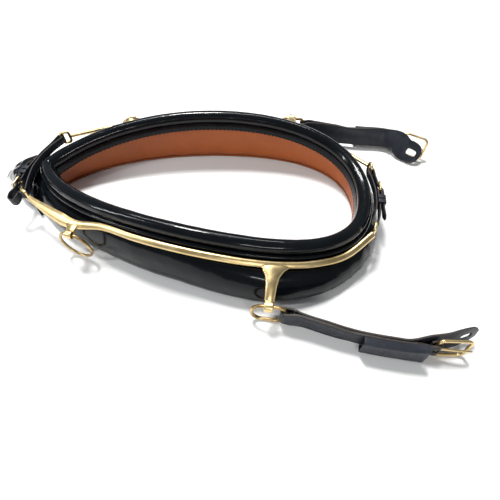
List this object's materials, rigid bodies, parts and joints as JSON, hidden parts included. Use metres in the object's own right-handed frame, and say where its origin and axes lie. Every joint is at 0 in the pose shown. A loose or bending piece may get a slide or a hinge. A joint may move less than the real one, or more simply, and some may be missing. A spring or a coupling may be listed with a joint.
{
  "type": "horse collar",
  "caption": "Driving-harness horse collar: stuffed patent-leather body with tan lining, brass hames, terret and draft rings, hame tugs with buckles, and the straps that join the hames.",
  "frame": {"origin": "bottom centre of the whole part's bounding box, on the surface it lies on", "axes": "+X from the cap towards the throat, -Y the horse's right side, +Z from the body side up to the front edge with the hames"},
  "size_m": [0.83, 0.493, 0.1001],
  "materials": {
    "patent_leather": "gloss",
    "tan_leather": "satin",
    "straw": "matte",
    "brass": "polished, lightly worn",
    "harness_leather": "satin"
  },
  "bodies": {
    "collar": {"forewale_roll": "patent_leather", "forewale_straw_core": "straw", "rim_bead": "patent_leather", "inner_band": "patent_leather", "neck_lining": "tan_leather", "body_cover": "patent_leather", "straw_stuffing": "straw", "collar_cap": "patent_leather", "right_hame": "brass", "left_hame": "brass", "bottom_hame_strap": "harness_leather", "bottom_strap_buckle": "brass", "bottom_strap_fixed_keeper": "harness_leather", "top_hame_strap": "harness_leather", "top_strap_buckle": "brass", "top_strap_fixed_keeper": "harness_leather"},
    "bottom_running_keeper": {"bottom_strap_running_keeper": "harness_leather"},
    "top_running_keeper": {"top_strap_running_keeper": "harness_leather"},
    "bottom_tongue": {"bottom_strap_tongue": "brass"},
    "top_tongue": {"top_strap_tongue": "brass"},
    "right_terret": {"right_terret_ring": "brass"},
    "right_draft_link": {"right_draft_ring": "brass"},
    "right_tug": {"right_tug_strap": "harness_leather", "right_tug_safe": "harness_leather", "right_tug_box_loop": "harness_leather"},
    "right_trace_buckle": {"right_tug_buckle": "brass"},
    "right_trace_tongue": {"right_tug_tongue": "brass"},
    "left_terret": {"left_terret_ring": "brass"},
    "left_draft_link": {"left_draft_ring": "brass"},
    "left_tug": {"left_tug_strap": "harness_leather", "left_tug_safe": "harness_leather", "left_tug_box_loop": "harness_leather"},
    "left_trace_buckle": {"left_tug_buckle": "brass"},
    "left_trace_tongue": {"left_tug_tongue": "brass"}
  },
  "joints": [
    {"name": "bottom_tongue_pivot", "type": "hinge", "parent": "collar", "child": "bottom_tongue", "pos_m": [0.2845, 0.03115, 0.052], "axis": [0, 0, 1], "range_deg": [-12, 0]},
    {"name": "top_tongue_pivot", "type": "hinge", "parent": "collar", "child": "top_tongue", "pos_m": [-0.341, -0.03284, 0.056], "axis": [0, 0, 1], "range_deg": [-12, 0]},
    {"name": "bottom_keeper_slide", "type": "slide", "parent": "collar", "child": "bottom_running_keeper", "axis": [0, -1, 0], "range_m": [0, 0.006]},
    {"name": "top_keeper_slide", "type": "slide", "parent": "collar", "child": "top_running_keeper", "axis": [0, 1, 0], "range_m": [0, 0.006]},
    {"name": "right_terret_swing", "type": "hinge", "parent": "collar", "child": "right_terret", "pos_m": [-0.202, -0.13784, 0.061], "axis": [0.9808, -0.195, 0], "range_deg": [-95, 4]},
    {"name": "right_draft_ring_swing", "type": "hinge", "parent": "collar", "child": "right_draft_link", "pos_m": [0.119, -0.20885, 0.0438], "axis": [1, 0, 0], "range_deg": [-90, 6]},
    {"name": "right_tug_swing", "type": "hinge", "parent": "right_draft_link", "child": "right_tug", "pos_m": [0.14325, -0.20885, 0.02345], "axis": [0, 0, 1], "range_deg": [-50, 18]},
    {"name": "right_trace_buckle_pivot", "type": "hinge", "parent": "right_tug", "child": "right_trace_buckle", "pos_m": [0.35357, -0.2276, 0.02291], "axis": [-0.0192, 0.0929, 0.9955], "range_deg": [-40, 3]},
    {"name": "right_trace_tongue_pivot", "type": "hinge", "parent": "right_trace_buckle", "child": "right_trace_tongue", "pos_m": [0.35357, -0.2276, 0.02291], "axis": [-0.0192, 0.0929, 0.9955], "range_deg": [-40, 0]},
    {"name": "left_terret_swing", "type": "hinge", "parent": "collar", "child": "left_terret", "pos_m": [-0.202, 0.16415, 0.061], "axis": [0.9808, 0.195, 0], "range_deg": [-4, 95]},
    {"name": "left_draft_ring_swing", "type": "hinge", "parent": "collar", "child": "left_draft_link", "pos_m": [0.119, 0.23516, 0.0438], "axis": [1, 0, 0], "range_deg": [-6, 90]},
    {"name": "left_tug_swing", "type": "hinge", "parent": "left_draft_link", "child": "left_tug", "pos_m": [0.14325, 0.23516, 0.02345], "axis": [0, 0, 1], "range_deg": [-12, 50]},
    {"name": "left_trace_buckle_pivot", "type": "hinge", "parent": "left_tug", "child": "left_trace_buckle", "pos_m": [0.35266, 0.21432, 0.02349], "axis": [0.242, 0.5183, 0.8202], "range_deg": [-3, 40]},
    {"name": "left_trace_tongue_pivot", "type": "hinge", "parent": "left_trace_buckle", "child": "left_trace_tongue", "pos_m": [0.35266, 0.21432, 0.02349], "axis": [0.242, 0.5183, 0.8202], "range_deg": [0, 40]}
  ]
}
